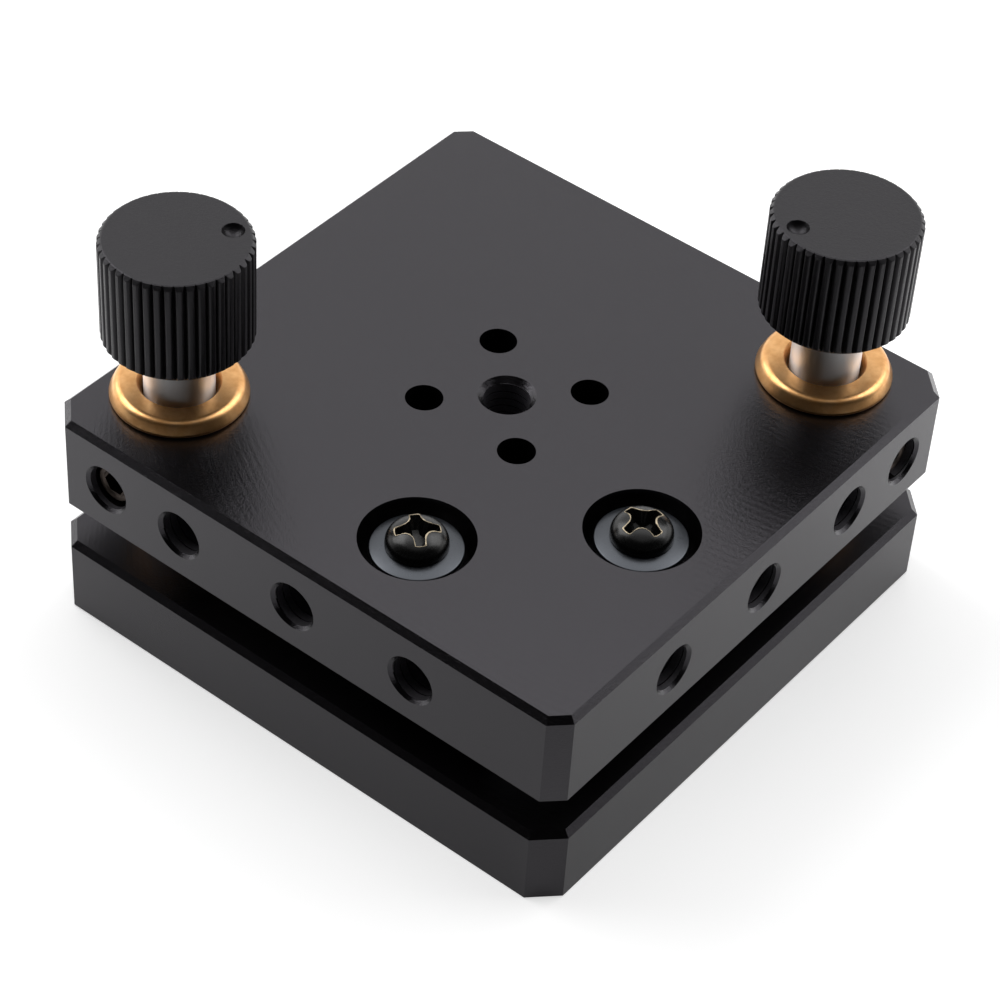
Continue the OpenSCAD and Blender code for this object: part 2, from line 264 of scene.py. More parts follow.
def milled_marks(tree, place):
    """Fine arcs that a face mill left as it was fed along Y."""
    x, y, _ = add_node(tree, SPLIT, (place,)).outputs
    across = add_node(tree, MATH, (x, MILL_CENTRE_X), operation="SUBTRACT")
    across_squared = add_node(tree, MATH, (across, across), operation="MULTIPLY")
    rise_squared = add_node(tree, MATH, (MILL_R**2, across_squared), operation="SUBTRACT")
    rise = add_node(tree, MATH, (rise_squared,), operation="SQRT")
    path = add_node(tree, MATH, (y, rise), operation="ADD")
    phase = add_node(tree, MATH, (path, FULL_TURN / MILL_FEED), operation="MULTIPLY")
    wave = add_node(tree, MATH, (phase,), operation="SINE")
    scratch = add_node(tree, MATH, (path, SCRATCHES_PER_MM), operation="MULTIPLY")
    lines_at = add_node(tree, JOIN, (scratch, x))
    stretch = (1, SCRATCH_STRETCH, 0)
    streaks_at = add_node(tree, VECTOR_MATH, (lines_at, stretch), operation="MULTIPLY")
    lines = add_node(tree, NOISE, {"Vector": streaks_at, "Scale": 1.0, "Detail": 3.0, "Roughness": 0.6})
    fine = add_node(tree, MATH, (lines, 1.5), operation="MULTIPLY")
    return add_node(tree, MATH, (wave, 0.4, fine), operation="MULTIPLY_ADD")


def plate_material(name, tint, roughness, marks_depth):
    """Black anodised aluminium: a dyed oxide layer over milled metal. It is satin and nearly black, its grain
    shows where it mirrors an edge of light, and the cut edges are shinier."""
    material, tree, shader = new_material(name, "#080708", roughness, ior=1.6)
    place = object_place(tree)
    grain = add_node(tree, NOISE, {"Vector": place, "Scale": 5.5, "Detail": 3.0, "Roughness": 0.75})
    cloud = add_node(tree, NOISE, {"Vector": place, "Scale": 0.12, "Detail": 2.0, "Roughness": 0.5})
    normal = add_node(tree, "ShaderNodeNewGeometry").outputs["True Normal"]
    upright = add_node(tree, SPLIT, (normal,)).outputs["Z"]
    facing_up = add_node(tree, MAP_RANGE, (upright, 0.9, 0.99, 0.0, 1.0))
    above_sides = add_node(tree, MAP_RANGE, (upright, 0.3, 0.5, 0.0, 1.0))
    below_top = add_node(tree, MAP_RANGE, (upright, 0.8, 0.9, 1.0, 0.0))
    chamfer = add_node(tree, MATH, (above_sides, below_top), operation="MULTIPLY")
    marks = add_node(tree, MATH, (milled_marks(tree, place), facing_up), operation="MULTIPLY")
    grainy = add_node(tree, MATH, (grain, 0.08, roughness - 0.04), operation="MULTIPLY_ADD")
    lowered = add_node(tree, MATH, (grainy, 0.03), operation="SUBTRACT")
    cloudy = add_node(tree, MATH, (cloud, 0.06, lowered), operation="MULTIPLY_ADD")
    rough = add_node(tree, MATH, (chamfer, -0.12, cloudy), operation="MULTIPLY_ADD")
    height = add_node(tree, MATH, (grain, 6.5, marks), operation="MULTIPLY_ADD")
    bump = add_node(tree, BUMP, {"Height": height, "Strength": 1.0, "Distance": marks_depth * MM})
    feed(tree, shader, {"Specular Tint": linear(tint), "Roughness": rough, "Normal": bump})
    return material


def thread_material():
    """Anodised aluminium of a cut thread, which is rougher and so looks greyer than the faces."""
    material, tree, shader = new_material("tapped_thread", "#3A383C", 0.42, ior=1.6)
    place = object_place(tree)
    grain = add_node(tree, NOISE, {"Vector": place, "Scale": 6.0, "Detail": 3.0, "Roughness": 0.6})
    share = add_node(tree, MAP_RANGE, (grain, 0.35, 0.65, 0.0, 1.0))
    colours = {0: share, MIX_LOW: linear("#333135"), MIX_HIGH: linear("#434146")}
    colour = add_node(tree, MIX, colours, data_type="RGBA").outputs[MIX_RESULT]
    rough = add_node(tree, MAP_RANGE, (grain, 0.3, 0.7, 0.36, 0.5))
    bump = add_node(tree, BUMP, {"Height": grain, "Strength": 1.0, "Distance": 0.003 * MM})
    feed(tree, shader, {"Base Color": colour, "Roughness": rough, "Normal": bump})
    return material


def knob_material():
    """Black anodised aluminium with a fine blasted grain, which softens what it mirrors into a sheen."""
    material, tree, shader = new_material("knob_anodised", "#080708", 0.36, ior=1.45)
    place = own_place(tree)
    grain = add_node(tree, NOISE, {"Vector": place, "Scale": 5.0, "Detail": 4.0, "Roughness": 0.75})
    rough = add_node(tree, MAP_RANGE, (grain, 0.2, 0.8, 0.3, 0.42))
    bump = add_node(tree, BUMP, {"Height": grain, "Strength": 1.0, "Distance": 0.03 * MM})
    feed(tree, shader, {"Specular Tint": linear("#FAF6FF"), "Roughness": rough, "Normal": bump})
    return material


def turned_rings(tree, place, per_mm):
    """Fine rings about a turned piece's axis, from 0 to 1."""
    x, y, z = add_node(tree, SPLIT, (place,)).outputs
    ring = add_node(tree, JOIN, {"X": axis_distance(tree, x, y), "Y": z})
    return add_node(tree, NOISE, {"Vector": ring, "Scale": per_mm, "Detail": 3.0, "Roughness": 0.6})


def brass_material():
    """Turned brass, slightly tarnished, which gives it warm darker patches and a soft mirror."""
    material, tree, shader = new_material("bushing_brass", "#D8A46B", 0.37, metallic=1.0)
    place = own_place(tree)
    rings = turned_rings(tree, place, 14.0)
    tarnish = add_node(tree, NOISE, {"Vector": place, "Scale": 0.9, "Detail": 4.0, "Roughness": 0.6})
    share = add_node(tree, MAP_RANGE, (tarnish, 0.35, 0.7, 0.0, 1.0))
    colours = {0: share, MIX_LOW: linear("#F0BB80"), MIX_HIGH: linear("#D99F63")}
    colour = add_node(tree, MIX, colours, data_type="RGBA").outputs[MIX_RESULT]
    rough = add_node(tree, MAP_RANGE, (tarnish, 0.3, 0.7, 0.29, 0.38))
    bump = add_node(tree, BUMP, {"Height": rings, "Strength": 1.0, "Distance": 0.0006 * MM})
    feed(tree, shader, {"Base Color": colour, "Roughness": rough, "Normal": bump})
    return material


def shaft_material():
    """Turned stainless steel, whose rings stretch what it mirrors along the shaft."""
    material, tree, shader = new_material("shaft_steel", "#D6D8DB", 0.36, metallic=1.0)
    upright = add_node(tree, JOIN, {"Z": 1.0})
    rings = turned_rings(tree, own_place(tree), 16.0)
    rough = add_node(tree, MAP_RANGE, (rings, 0.3, 0.7, 0.31, 0.41))
    bump = add_node(tree, BUMP, {"Height": rings, "Strength": 1.0, "Distance": 0.0010 * MM})
    feed(tree, shader, {"Anisotropic": 1.0, "Tangent": upright, "Roughness": rough, "Normal": bump})
    return material


def plain_metal(name, colour, low, high, grain_per_mm, depth):
    """Bare metal whose roughness varies over a fine grain, which softens what it mirrors."""
    material, tree, shader = new_material(name, colour, (low + high) / 2, metallic=1.0)
    place = object_place(tree)
    grain = add_node(tree, NOISE, {"Vector": place, "Scale": grain_per_mm, "Detail": 3.0, "Roughness": 0.6})
    rough = add_node(tree, MAP_RANGE, (grain, 0.3, 0.7, low, high))
    bump = add_node(tree, BUMP, {"Height": grain, "Strength": 1.0, "Distance": depth * MM})
    feed(tree, shader, {"Roughness": rough, "Normal": bump})
    return material


def black_oxide(name, colour, low, high, ior, sheen):
    """Steel with a thin black oxide coat, which is dark with a smooth oily sheen."""
    material, tree, shader = new_material(name, colour, (low + high) / 2, ior=ior)
    place = object_place(tree)
    grain = add_node(tree, NOISE, {"Vector": place, "Scale": 5.0, "Detail": 4.0, "Roughness": 0.65})
    rough = add_node(tree, MAP_RANGE, (grain, 0.3, 0.7, low, high))
    bump = add_node(tree, BUMP, {"Height": grain, "Strength": 1.0, "Distance": 0.0015 * MM})
    feed(tree, shader, {"Specular Tint": linear(sheen), "Roughness": rough, "Normal": bump})
    return material


MATERIALS = {
    "top_plate_anodised": plate_material("top_plate_anodised", "#F9F4FF", 0.18, 0.0042),
    # The base's dimmer specular tint is painted shade: it darkens what the base mirrors, standing in for the
    # floor in shadow at its foot.
    "base_plate_anodised": plate_material("base_plate_anodised", "#DED9E4", 0.24, 0.0035),
    "knob_anodised": knob_material(),
    "tapped_thread": thread_material(),
    "bushing_brass": brass_material(),
    "shaft_steel": shaft_material(),
    "screw_steel": black_oxide("screw_steel", "#080808", 0.2, 0.32, 1.48, "#FFFFFF"),
    "washer_steel": black_oxide("washer_steel", "#0B0D10", 0.26, 0.38, 1.85, "#ECF3FF"),
    "worn_edge": plain_metal("worn_edge", "#B3A68F", 0.4, 0.55, 8.0, 0.002),
    "lock_screw_steel": plain_metal("lock_screw_steel", "#4E4641", 0.34, 0.46, 6.0, 0.002),
    "spring_steel": plain_metal("spring_steel", "#B9B8B5", 0.22, 0.32, 6.0, 0.001),
    "ball_steel": plain_metal("ball_steel", "#C8C9CA", 0.08, 0.14, 3.0, 0.0004),
    "seat_steel": plain_metal("seat_steel", "#B4B5B6", 0.26, 0.36, 7.0, 0.001),
}


# Geometry Nodes


def new_tree(name, sockets):
    """Geometry Nodes tree with a geometry input, the named inputs and a material."""
    tree = bpy.data.node_groups.new(name, "GeometryNodeTree")
    tree.interface.new_socket("Geometry", in_out="INPUT", socket_type="NodeSocketGeometry")
    for socket, kind in sockets:
        tree.interface.new_socket(socket, in_out="INPUT", socket_type="NodeSocket" + kind)
    tree.interface.new_socket("Material", in_out="INPUT", socket_type="NodeSocketMaterial")
    tree.interface.new_socket("Geometry", in_out="OUTPUT", socket_type="NodeSocketGeometry")
    given = add_node(tree, "NodeGroupInput")
    return tree, given.outputs


def end_tree(tree, geometry, material):
    """Ends a tree in real geometry with its material."""
    real = add_node(tree, "GeometryNodeRealizeInstances", {"Geometry": geometry})
    done = add_node(tree, "GeometryNodeSetMaterial", {"Geometry": real, "Material": material})
    add_node(tree, "NodeGroupOutput", {0: done})
    return tree


def run_tree(mesh, tree, inputs):
    """Puts a mesh through a tree and returns the plain mesh that comes out."""
    source = bpy.data.objects.new("source", mesh)
    bpy.context.scene.collection.objects.link(source)
    modifier = source.modifiers.new(tree.name, "NODES")
    modifier.node_group = tree
    for item in tree.interface.items_tree:
        if item.in_out == "INPUT" and item.name in inputs:
            modifier[item.identifier] = inputs[item.name]
    graph = bpy.context.evaluated_depsgraph_get()
    plain = bpy.data.meshes.new_from_object(source.evaluated_get(graph), depsgraph=graph)
    bpy.data.objects.remove(source)
    return plain


def knob_tree():
    """Cuts straight grooves round a turned knob and presses the dimple into its top."""
    names = ("Rim radius", "Groove depth", "Groove share", "Top height")
    names += ("Dimple along", "Dimple turn", "Dimple ball", "Dimple lift")
    tree, given = new_tree("knurled_knob", [("Grooves", "Int")] + [(name, "Float") for name in names])
    place = add_node(tree, "GeometryNodeInputPosition")
    x, y, z = add_node(tree, SPLIT, (place,)).outputs

    out = axis_distance(tree, x, y)
    turn = add_node(tree, MATH, (y, x), operation="ARCTAN2")
    grooves_per_radian = add_node(tree, MATH, (given["Grooves"], FULL_TURN), operation="DIVIDE")
    grooves_passed = add_node(tree, MATH, (turn, grooves_per_radian), operation="MULTIPLY")
    pitch_share = add_node(tree, MATH, (grooves_passed,), operation="FRACT")
    off_middle = add_node(tree, MATH, (pitch_share, 0.5), operation="SUBTRACT")
    off_middle = add_node(tree, MATH, (off_middle,), operation="ABSOLUTE")
    towards_groove = add_node(tree, MATH, (off_middle, 2.0), operation="MULTIPLY")
    land = add_node(tree, MATH, (1.0, given["Groove share"]), operation="SUBTRACT")
    past_land = add_node(tree, MATH, (towards_groove, land), operation="SUBTRACT")
    wall = add_node(tree, MATH, (past_land, given["Groove share"]), operation="DIVIDE")
    rounded = add_node(tree, MATH, (wall, 0.0, KNURL_ROUND), operation="SMOOTH_MAX")
    cut = add_node(tree, MATH, (rounded, given["Groove depth"]), operation="MULTIPLY")
    limit = add_node(tree, MATH, (given["Rim radius"], cut), operation="SUBTRACT")
    kept = add_node(tree, MATH, (out, limit), operation="MINIMUM")
    safe_out = add_node(tree, MATH, (out, 1e-6), operation="MAXIMUM")
    factor = add_node(tree, MATH, (kept, safe_out), operation="DIVIDE")

    cosine = add_node(tree, MATH, (given["Dimple turn"],), operation="COSINE")
    sine = add_node(tree, MATH, (given["Dimple turn"],), operation="SINE")
    dimple_x = add_node(tree, MATH, (given["Dimple along"], cosine), operation="MULTIPLY")
    dimple_y = add_node(tree, MATH, (given["Dimple along"], sine), operation="MULTIPLY")
    away_x = add_node(tree, MATH, (x, dimple_x), operation="SUBTRACT")
    away_y = add_node(tree, MATH, (y, dimple_y), operation="SUBTRACT")
    away_x = add_node(tree, MATH, (away_x, away_x), operation="MULTIPLY")
    away_y = add_node(tree, MATH, (away_y, away_y), operation="MULTIPLY")
    away = add_node(tree, MATH, (away_x, away_y), operation="ADD")
    ball = add_node(tree, MATH, (given["Dimple ball"], given["Dimple ball"]), operation="MULTIPLY")
    ball = add_node(tree, MATH, (ball, away), operation="SUBTRACT")
    ball = add_node(tree, MATH, (ball, 0.0), operation="MAXIMUM")
    ball = add_node(tree, MATH, (ball,), operation="SQRT")
    centre = add_node(tree, MATH, (given["Top height"], given["Dimple lift"]), operation="ADD")
    ball_z = add_node(tree, MATH, (centre, ball), operation="SUBTRACT")
    dented = add_node(tree, MATH, (z, ball_z, DIMPLE_ROUND * MM), operation="SMOOTH_MIN")

    moved = moved_across(tree, x, y, factor, dented)
    shaped = add_node(tree, "GeometryNodeSetPosition", {"Geometry": given["Geometry"], "Position": moved})
    return end_tree(tree, shaped, given["Material"])


def screw_thread_tree():
    """Cuts a right-handed thread into the part of a turned rod between two heights. The wall runs from 0.06
    to 0.44 of the pitch off the crest's middle, so crest and root stay flat, and the thread runs out over
    one pitch at each end. Only points on the rod's outer surface are cut."""
    names = ("Crest radius", "Pitch", "Depth", "Bottom", "Top")
    tree, given = new_tree("screw_thread", [(name, "Float") for name in names])
    place = add_node(tree, "GeometryNodeInputPosition")
    x, y, z = add_node(tree, SPLIT, (place,)).outputs
    out = axis_distance(tree, x, y)
    turn = add_node(tree, MATH, (y, x), operation="ARCTAN2")
    pitches_up = add_node(tree, MATH, (z, given["Pitch"]), operation="DIVIDE")
    turned = add_node(tree, MATH, (turn, FULL_TURN), operation="DIVIDE")
    turns = add_node(tree, MATH, (pitches_up, turned), operation="SUBTRACT")
    groove = add_node(tree, MATH, (turns,), operation="FRACT")
    groove = add_node(tree, MATH, (groove, 0.5), operation="SUBTRACT")
    groove = add_node(tree, MATH, (groove,), operation="ABSOLUTE")
    groove = add_node(tree, MAP_RANGE, (groove, 0.06, 0.44, 0.0, 1.0))
    above_bottom = add_node(tree, MATH, (z, given["Bottom"]), operation="SUBTRACT")
    above_bottom = add_node(tree, MATH, (above_bottom, given["Pitch"]), operation="DIVIDE")
    low_end = add_node(tree, MAP_RANGE, (above_bottom, 0, 1, 0, 1))
    below_top = add_node(tree, MATH, (given["Top"], z), operation="SUBTRACT")
    below_top = add_node(tree, MATH, (below_top, given["Pitch"]), operation="DIVIDE")
    high_end = add_node(tree, MAP_RANGE, (below_top, 0, 1, 0, 1))
    near_crest = add_node(tree, MATH, (given["Crest radius"], 0.99), operation="MULTIPLY")
    on_crest = add_node(tree, MATH, (out, near_crest), operation="GREATER_THAN")
    crest_groove = add_node(tree, MATH, (groove, on_crest), operation="MULTIPLY")
    both_ends = add_node(tree, MATH, (low_end, high_end), operation="MULTIPLY")
    cut = add_node(tree, MATH, (crest_groove, both_ends), operation="MULTIPLY")
    cut = add_node(tree, MATH, (cut, given["Depth"]), operation="MULTIPLY")
    limit = add_node(tree, MATH, (out, cut), operation="SUBTRACT")
    safe_out = add_node(tree, MATH, (out, 1e-6), operation="MAXIMUM")
    factor = add_node(tree, MATH, (limit, safe_out), operation="DIVIDE")
    moved = moved_across(tree, x, y, factor, z)
    shaped = add_node(tree, "GeometryNodeSetPosition", {"Geometry": given["Geometry"], "Position": moved})
    return end_tree(tree, shaped, given["Material"])


def tapped_thread_tree():
    """Winds a thread ridge down every hole whose mouth is a point with an axis that leads out of it. Its
    crest and root are 0.14 and 0.88 of the pitch wide, and it is cut back to the mouth's cone."""
    names = ("Hole radius", "Pitch", "Ridge", "Depth", "Mouth radius")
    tree, given = new_tree("tapped_thread", [(name, "Float") for name in names])
    turns = add_node(tree, MATH, (given["Depth"], given["Pitch"]), operation="DIVIDE")
    radius = given["Hole radius"]
    winding = {"Resolution": 40, "Rotations": turns, "Start Radius": radius, "End Radius": radius}
    winding.update({"Height": given["Depth"], "Reverse": True})
    helix = add_node(tree, "GeometryNodeCurveSpiral", winding)
    upright = add_node(tree, "GeometryNodeSetCurveNormal", {"Curve": helix}, mode="Z_UP")

    section = add_node(tree, "GeometryNodeCurvePrimitiveQuadrilateral", mode="POINTS")
    buried = -RIDGE_BURIED * MM
    crest_half = add_node(tree, MATH, (given["Pitch"], 0.07), operation="MULTIPLY")
    root_half = add_node(tree, MATH, (given["Pitch"], 0.44), operation="MULTIPLY")
    corners = ((buried, root_half, 1), (given["Ridge"], crest_half, 1))
    corners += ((given["Ridge"], crest_half, -1), (buried, root_half, -1))
    for number, (inward, half, sign) in enumerate(corners, 1):
        along = add_node(tree, MATH, (half, sign), operation="MULTIPLY")
        corner = add_node(tree, JOIN, {"X": inward, "Y": along})
        feed(tree, section, {f"Point {number}": corner})
    sweep = {"Curve": upright, "Profile Curve": section, "Fill Caps": True}
    ridge = add_node(tree, "GeometryNodeCurveToMesh", sweep)

    place = add_node(tree, "GeometryNodeInputPosition")
    x, y, z = add_node(tree, SPLIT, (place,)).outputs
    out = axis_distance(tree, x, y)
    from_mouth = add_node(tree, MATH, (given["Depth"], z), operation="SUBTRACT")
    mouth_depth = add_node(tree, MATH, (given["Mouth radius"], radius), operation="SUBTRACT")
    down = add_node(tree, MATH, (from_mouth, mouth_depth), operation="MAXIMUM")
    cone = add_node(tree, MATH, (given["Mouth radius"], down), operation="SUBTRACT")
    kept = add_node(tree, MATH, (out, cone), operation="MAXIMUM")
    factor = add_node(tree, MATH, (kept, out), operation="DIVIDE")
    below = add_node(tree, MATH, (down, -1.0), operation="MULTIPLY")
    moved = moved_across(tree, x, y, factor, below)
    trimmed = add_node(tree, "GeometryNodeSetPosition", {"Geometry": ridge, "Position": moved})

    axis = add_node(tree, "GeometryNodeInputNamedAttribute", {"Name": "axis"}, data_type="FLOAT_VECTOR")
    aimed = add_node(tree, "FunctionNodeAlignRotationToVector", {"Vector": axis}, axis="Z")
    copies = {"Points": given["Geometry"], "Instance": trimmed, "Rotation": aimed}
    placed = add_node(tree, "GeometryNodeInstanceOnPoints", copies)
    return end_tree(tree, placed, given["Material"])


def coil_tree():
    """Winds a compression spring with closed end coils upward from each point."""
    tree, given = new_tree("coil_spring", [(name, "Float") for name in ("Radius", "Wire", "Turns", "Height")])
    radius = given["Radius"]
    winding = {"Resolution": 40, "Rotations": given["Turns"], "Start Radius": radius, "End Radius": radius}
    winding.update({"Height": given["Height"], "Reverse": True})
    helix = add_node(tree, "GeometryNodeCurveSpiral", winding)

    along = add_node(tree, "GeometryNodeSplineParameter").outputs["Factor"]
    closed = add_node(tree, MATH, (1.0, given["Turns"]), operation="DIVIDE")
    opened = add_node(tree, MATH, (1.0, closed), operation="SUBTRACT")
    three_wires = add_node(tree, MATH, (given["Wire"], 3.0), operation="MULTIPLY")
    free = add_node(tree, MATH, (given["Height"], three_wires), operation="SUBTRACT")
    first = add_node(tree, MAP_RANGE, (along, 0.0, closed, 0.0, given["Wire"]))
    between = add_node(tree, MAP_RANGE, (along, closed, opened, 0.0, free))
    last = add_node(tree, MAP_RANGE, (along, opened, 1.0, 0.0, given["Wire"]))
    rise = add_node(tree, MATH, (first, between), operation="ADD")
    rise = add_node(tree, MATH, (rise, last), operation="ADD")
    rise = add_node(tree, MATH, (given["Wire"], 0.5, rise), operation="MULTIPLY_ADD")

    place = add_node(tree, "GeometryNodeInputPosition")
    x, y, _ = add_node(tree, SPLIT, (place,)).outputs
    moved = add_node(tree, JOIN, (x, y, rise))
    laid = add_node(tree, "GeometryNodeSetPosition", {"Geometry": helix, "Position": moved})
    wire_r = add_node(tree, MATH, (given["Wire"], 0.5), operation="MULTIPLY")
    section = add_node(tree, "GeometryNodeCurvePrimitiveCircle", {"Resolution": 14, "Radius": wire_r})
    sweep = {"Curve": laid, "Profile Curve": section, "Fill Caps": True}
    wire = add_node(tree, "GeometryNodeCurveToMesh", sweep)
    placed = add_node(tree, "GeometryNodeInstanceOnPoints", {"Points": given["Geometry"], "Instance": wire})
    return end_tree(tree, placed, given["Material"])


def worn_line_tree():
    """Lays a thin bright bead of uneven width along a closed line of edges."""
    names = ("Width", "Step", "Patches per metre")
    tree, given = new_tree("worn_line", [(name, "Float") for name in names])
    line = add_node(tree, "GeometryNodeMeshToCurve", {"Mesh": given["Geometry"]})
    spaced = {"Curve": line, "Length": given["Step"]}
    even = add_node(tree, "GeometryNodeResampleCurve", spaced, mode="LENGTH")
    place = add_node(tree, "GeometryNodeInputPosition")
    pattern = {"Vector": place, "Scale": given["Patches per metre"], "Detail": 3.0, "Roughness": 0.6}
    patches = add_node(tree, NOISE, pattern)
    swell = add_node(tree, MAP_RANGE, (patches, 0.4, 0.66, 0.3, 1.7))
    uneven = add_node(tree, "GeometryNodeSetCurveRadius", {"Curve": even, "Radius": swell})
    bead_r = add_node(tree, MATH, (given["Width"], 0.5), operation="MULTIPLY")
    section = add_node(tree, "GeometryNodeCurvePrimitiveCircle", {"Resolution": 8, "Radius": bead_r})
    radius = add_node(tree, "GeometryNodeInputRadius")
    sweep = {"Curve": uneven, "Profile Curve": section, "Scale": radius}
    bead = add_node(tree, "GeometryNodeCurveToMesh", sweep)
    return end_tree(tree, bead, given["Material"])


# Meshes


def arc(centre, radius, start, end, steps):
    """Points of an arc in a side view, with angles in degrees from the outward direction."""
    points = []
    for step in range(steps + 1):
        angle = math.radians(start + (end - start) * step / steps)
        points.append((centre[0] + radius * math.cos(angle), centre[1] + radius * math.sin(angle)))
    return points


def rows(radius, low, high, count):
    """Points straight up a turned piece's side."""
    return [(radius, low + (high - low) * step / count) for step in range(count + 1)]


def lathe(profile, angles, closed=False):
    """Mesh turned from a side view in millimetres; a point on the axis becomes a pole."""
    shape = bmesh.new()
    rings = []
    for radius, height in profile:
        if radius < 1e-6:
            rings.append([shape.verts.new((0, 0, height * MM))])
            continue
        ring = []
        for angle in angles:
            spot = (radius * MM * math.cos(angle), radius * MM * math.sin(angle), height * MM)
            ring.append(shape.verts.new(spot))
        rings.append(ring)
    pairs = list(zip(rings, rings[1:]))
    if closed:
        pairs.append((rings[-1], rings[0]))
    for low, high in pairs:
        for here in range(len(angles)):
            after = (here + 1) % len(angles)
            corners = [low[here % len(low)], low[after % len(low)]]
            corners += [high[after % len(high)], high[here % len(high)]]
            face = list(dict.fromkeys(corners))
            if len(face) > 2:
                shape.faces.new(face)
    bmesh.ops.recalc_face_normals(shape, faces=shape.faces)
    mesh = bpy.data.meshes.new("turned")
    shape.to_mesh(mesh)
    shape.free()
    return mesh


def even_angles(count):
    """Angles round a full turn."""
    return [FULL_TURN * step / count for step in range(count)]


def cut_out(mesh, cutter):
    """Cuts one mesh out of another; the faces of the cut keep the cutter's material number."""
    body = bpy.data.objects.new("body", mesh)
    tool = bpy.data.objects.new("tool", cutter)
    for thing in (body, tool):
        bpy.context.scene.collection.objects.link(thing)
    modifier = body.modifiers.new("cut", "BOOLEAN")
    modifier.operation = "DIFFERENCE"
    modifier.solver = "EXACT"
    modifier.object = tool
    graph = bpy.context.evaluated_depsgraph_get()
    plain = bpy.data.meshes.new_from_object(body.evaluated_get(graph), depsgraph=graph)
    bpy.data.objects.remove(body)
    bpy.data.objects.remove(tool)
    return plain


def tapered_prism(outline, low, high, low_scale):
    """Closed prism over an outline in millimetres that narrows towards its lower end."""
    shape = bmesh.new()
    bottom = [shape.verts.new((x * low_scale * MM, y * low_scale * MM, low * MM)) for x, y in outline]
    top = [shape.verts.new((x * MM, y * MM, high * MM)) for x, y in outline]
    shape.faces.new(bottom)
    shape.faces.new(top)
    for here in range(len(outline)):
        after = (here + 1) % len(outline)
        shape.faces.new([bottom[here], bottom[after], top[after], top[here]])
    bmesh.ops.recalc_face_normals(shape, faces=shape.faces)
    mesh = bpy.data.meshes.new("prism")
    shape.to_mesh(mesh)
    shape.free()
    return mesh


def finish_piece(name, mesh, body, replaced, place=None):
    """Puts a mesh in its place and makes it a piece that rides on a body."""
    own = mesh.attributes.new("own_place", "FLOAT_VECTOR", "POINT")
    own.data.foreach_set("vector", [c for vertex in mesh.vertices for c in vertex.co])
    if place is not None:
        mesh.transform(place)
    mesh.shade_smooth()
    mesh.set_sharp_from_angle(angle=SHARP_EDGE)
    mesh.name = name
    piece = bpy.data.objects.new(name, mesh)
    bpy.context.scene.collection.objects.link(piece)
    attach(piece, body)
    if replaced:
        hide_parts(replaced)


def use_material(mesh, name):
    """Sets a mesh's only material."""
    mesh.materials.clear()
    mesh.materials.append(MATERIALS[name])


def shift(spot, height=0.0):
    """Move to a spot seen from above, in millimetres."""
    return Matrix.Translation(Vector((spot.x, spot.y, height)) * MM)


# Knobs


def knob_angles():
    """Angles whose columns follow the corners of each groove."""
    half = KNURL_SHARE / 2
    shares = [0, 0.03, 0.08, 0.14, 0.19, half, half + 0.04, half + 0.09, half + 0.15]
    shares += [0.5] + [1 - share for share in reversed(shares[1:])]
    return [FULL_TURN * (groove + share) / KNURLS for groove in range(KNURLS) for share in shares]


def knob_profile():
    """Side view of a knob before its grooves, from the bore for the stub to the rim and the top."""
    height = KNOB_H
    inner = KNOB_R - KNOB_BEVEL
    bevel_rows = 9
    points = [(0, STUB_H), (STUB_R, STUB_H), (STUB_R, 0.15), (STUB_R + 0.15, 0), (inner - 0.3, 0)]
    rises = [KNOB_BEVEL * step / bevel_rows for step in range(bevel_rows)]
    points += [(inner + rise, rise) for rise in rises]
    points += rows(KNOB_R, KNOB_BEVEL, height - KNOB_BEVEL, 3)
    points += [
        (KNOB_R - KNOB_BEVEL * step / bevel_rows, height - KNOB_BEVEL + KNOB_BEVEL * step / bevel_rows)
        for step in range(1, bevel_rows)
    ]
    points += arc((inner - 0.1, height - 0.1), 0.1, 45, 90, 3)
    rings = 34
    first, last = inner - 0.12, DIMPLE_ALONG - DIMPLE_BALL
    points += [(first + (last - first) * step / rings, height) for step in range(rings + 1)]
    points += [(radius, height) for radius in (3.0, 2.0, 1.0, 0)]
    return points


def make_knobs(tree):
    """Knurled knobs, each turned to where its dimple is."""
    for side in SIDES:
        turned = lathe(knob_profile(), knob_angles())
        inputs = {
            "Grooves": KNURLS, "Rim radius": KNOB_R * MM, "Groove depth": KNURL_DEPTH * MM,
            "Groove share": KNURL_SHARE, "Top height": KNOB_H * MM, "Dimple along": DIMPLE_ALONG * MM,
            "Dimple turn": DIMPLE_TURN[side], "Dimple ball": DIMPLE_BALL * MM,
            "Dimple lift": DIMPLE_LIFT * MM, "Material": MATERIALS["knob_anodised"],
        }
        mesh = run_tree(turned, tree, inputs)
        place = shift(ADJUSTER_SPOT[side], KNOB_UNDER[side])
        finish_piece("knurled_knob_" + side, mesh, "adjuster_" + side, "knob_" + side, place)


# Adjusters and bushings


